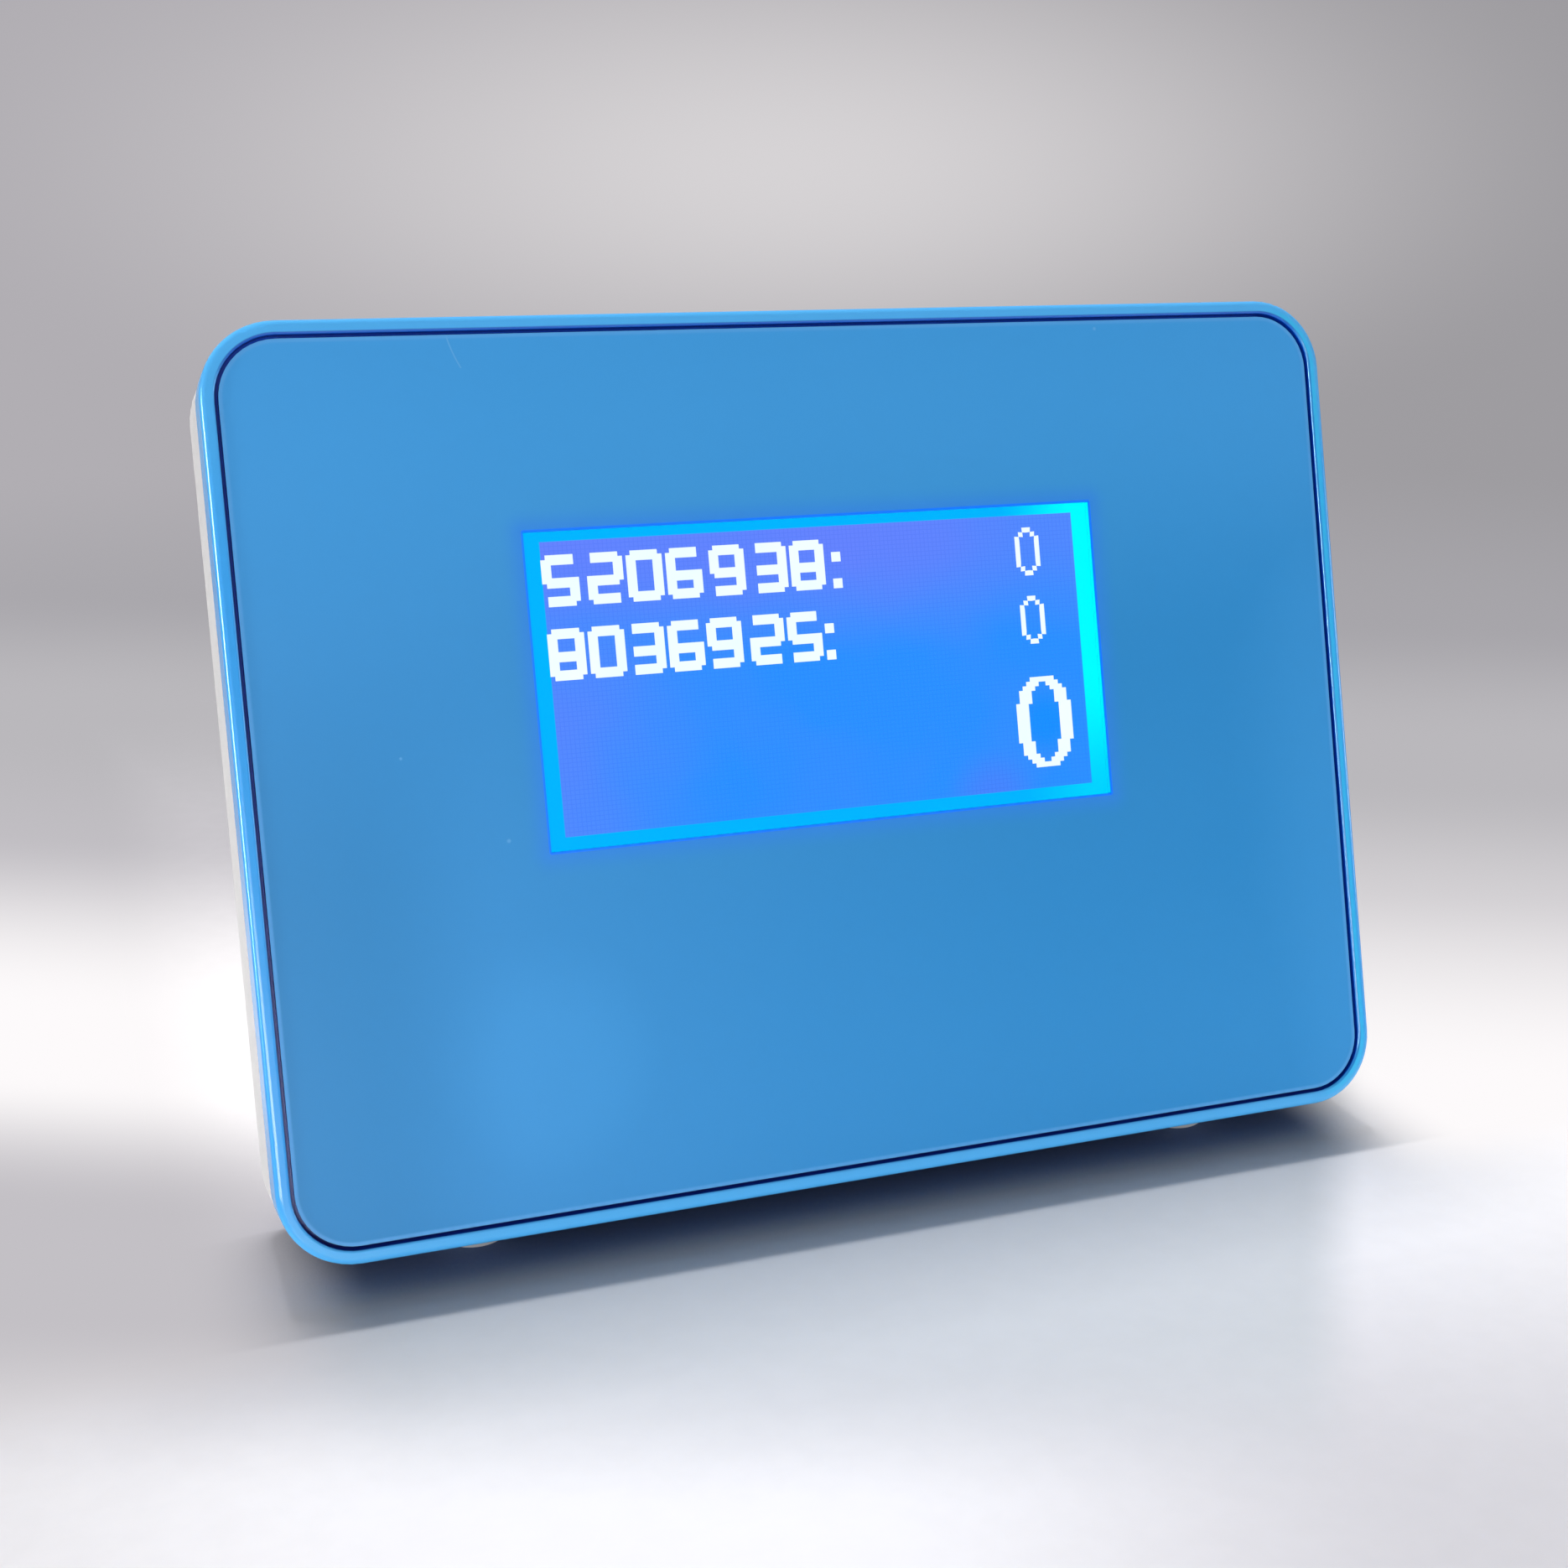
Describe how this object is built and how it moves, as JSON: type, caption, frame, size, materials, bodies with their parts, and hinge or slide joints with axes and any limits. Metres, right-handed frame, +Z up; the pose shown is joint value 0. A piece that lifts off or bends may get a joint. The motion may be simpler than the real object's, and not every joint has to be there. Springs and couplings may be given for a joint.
{
  "type": "remote display",
  "caption": "Free-standing remote display: leaning rounded bezel with a flush panel and a lit rectangular window, on a hollow rear stand with a cable socket.",
  "frame": {"origin": "on the surface that the feet stand on, below the middle of the whole case's box", "axes": "+X to the right as seen from the front, +Y from the front to the upright back, +Z up; the face looks along -Y and leans back 14.5 degrees"},
  "size_m": [0.1376, 0.052, 0.1027],
  "materials": {
    "bezel_blue": "moulded, satin gloss",
    "panel_blue": "fine satin",
    "cover_white": "fine moulded texture",
    "clear_lens": "clear, polished",
    "lit_face": "lit from behind",
    "cell_glass": "clear",
    "film_white": "milky",
    "guide_acrylic": "clear, dotted back",
    "lamp_strip": "lamps on a white strip",
    "foam_black": "closed-cell foam",
    "frame_black": "satin black",
    "film_adhesive": "matt",
    "zebra_rubber": "striped silicone",
    "board_green": "solder mask",
    "resin_black": "cast resin",
    "chip_black": "moulded epoxy",
    "plug_cream": "nylon",
    "ribbon_grey": "ribbed",
    "socket_black": "moulded",
    "contact_gold": "plated",
    "can_metal": "satin",
    "trimmer_blue": "moulded",
    "screw_steel": "zinc plated",
    "foot_rubber": "matt"
  },
  "bodies": {
    "root": {"front_bezel": "bezel_blue", "front_panel": "panel_blue", "panel_adhesive": "film_adhesive", "window_lens": "clear_lens", "window_gasket": "foam_black", "lcd_frame": "frame_black", "front_polariser": "lit_face", "front_glass": "cell_glass", "rear_glass": "cell_glass", "rear_polariser": "cell_glass", "diffuser_film": "film_white", "light_guide": "guide_acrylic", "backlight_tray": "film_white", "backlight_leds": "lamp_strip", "zebra_strips": "zebra_rubber", "lcd_board": "board_green", "driver_domes": "resin_black", "lcd_header": "chip_black", "lcd_plug": "plug_cream", "ribbon_cable": "ribbon_grey", "board_plug": "plug_cream", "board_header": "chip_black", "main_board": "board_green", "microcontroller": "chip_black", "line_driver": "chip_black", "quartz_crystal": "can_metal", "voltage_regulator": "chip_black", "filter_capacitors": "can_metal", "contrast_trimmer": "trimmer_blue", "cable_socket": "socket_black", "socket_contacts": "contact_gold", "module_screws": "screw_steel", "board_screws": "screw_steel", "cover_screws": "screw_steel", "rear_cover": "cover_white", "rubber_feet": "foot_rubber"}
  },
  "joints": []
}
